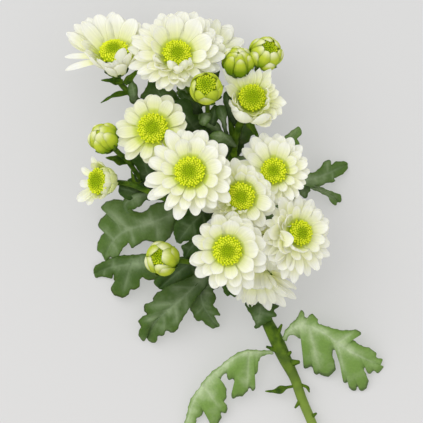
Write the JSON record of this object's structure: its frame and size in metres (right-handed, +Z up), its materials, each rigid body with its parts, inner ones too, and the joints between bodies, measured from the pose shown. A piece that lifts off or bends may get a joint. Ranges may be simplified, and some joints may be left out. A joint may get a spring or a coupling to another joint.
{
  "type": "cut spray chrysanthemum",
  "caption": "Cut spray chrysanthemum lying on its side: a branching green stem with white daisy-like heads round yellow-green discs, pale buds and deeply lobed leaves.",
  "frame": {"origin": "middle of the spray's footprint, on the surface that it lies on", "axes": "+Y along the stem from the cut end to the heads, +Z up, +X to the right as seen from above"},
  "size_m": [0.1536, 0.2449, 0.0741],
  "materials": {
    "white_petals": "soft matte petal, white with a greenish cream base",
    "bud_petals": "soft matte petal, pale yellow-green",
    "disc_florets": "packed tube florets, olive-green to yellow-green",
    "stem": "satin, finely ribbed green stem",
    "leaf": "matte grey-green leaf with pale veins"
  },
  "bodies": {
    "root": {"stem": "stem", "head_06_disc": "disc_florets", "head_09_disc": "disc_florets", "head_07_disc": "disc_florets", "head_02_disc": "disc_florets", "head_05_disc": "disc_florets", "head_04_disc": "disc_florets", "head_08_disc": "disc_florets", "head_10_disc": "disc_florets", "head_01_disc": "disc_florets", "head_12_disc": "disc_florets", "head_03_disc": "disc_florets", "head_11_disc": "disc_florets", "head_13_disc": "disc_florets", "bud_02_disc": "disc_florets", "bud_03_disc": "disc_florets", "bud_05_disc": "disc_florets", "bud_01_petals": "bud_petals", "bud_02_petals": "bud_petals", "bud_03_petals": "bud_petals", "bud_04_petals": "bud_petals", "bud_05_petals": "bud_petals", "head_06_petals": "white_petals", "head_09_petals": "white_petals", "head_07_petals": "white_petals", "head_02_petals": "white_petals", "head_05_petals": "white_petals", "head_04_petals": "white_petals", "head_08_petals": "white_petals", "head_10_petals": "white_petals", "head_01_petals": "white_petals", "head_12_petals": "white_petals", "head_03_petals": "white_petals", "head_11_petals": "white_petals", "head_13_petals": "white_petals", "leaf_lower_right": "leaf", "leaf_lower_left": "leaf", "leaf_bottom": "leaf", "leaf_left_upper": "leaf", "leaf_left_lower": "leaf", "leaf_right": "leaf", "leaf_upper_right": "leaf", "leaf_below_stem_top": "leaf", "leaf_under_head_11": "leaf", "leaf_inner_a": "leaf", "leaf_inner_b": "leaf", "leaf_inner_c": "leaf", "leaf_inner_d": "leaf", "leaf_under_head_01": "leaf", "leaf_between_heads": "leaf", "leaf_behind_head_02": "leaf", "leaf_left_spiked": "leaf", "leaf_centre_dark": "leaf", "leaf_left_curled": "leaf", "leaf_centre_low": "leaf", "leaf_rest_left": "leaf", "leaf_rest_right": "leaf", "leaf_rest_top": "leaf"}
  },
  "joints": []
}
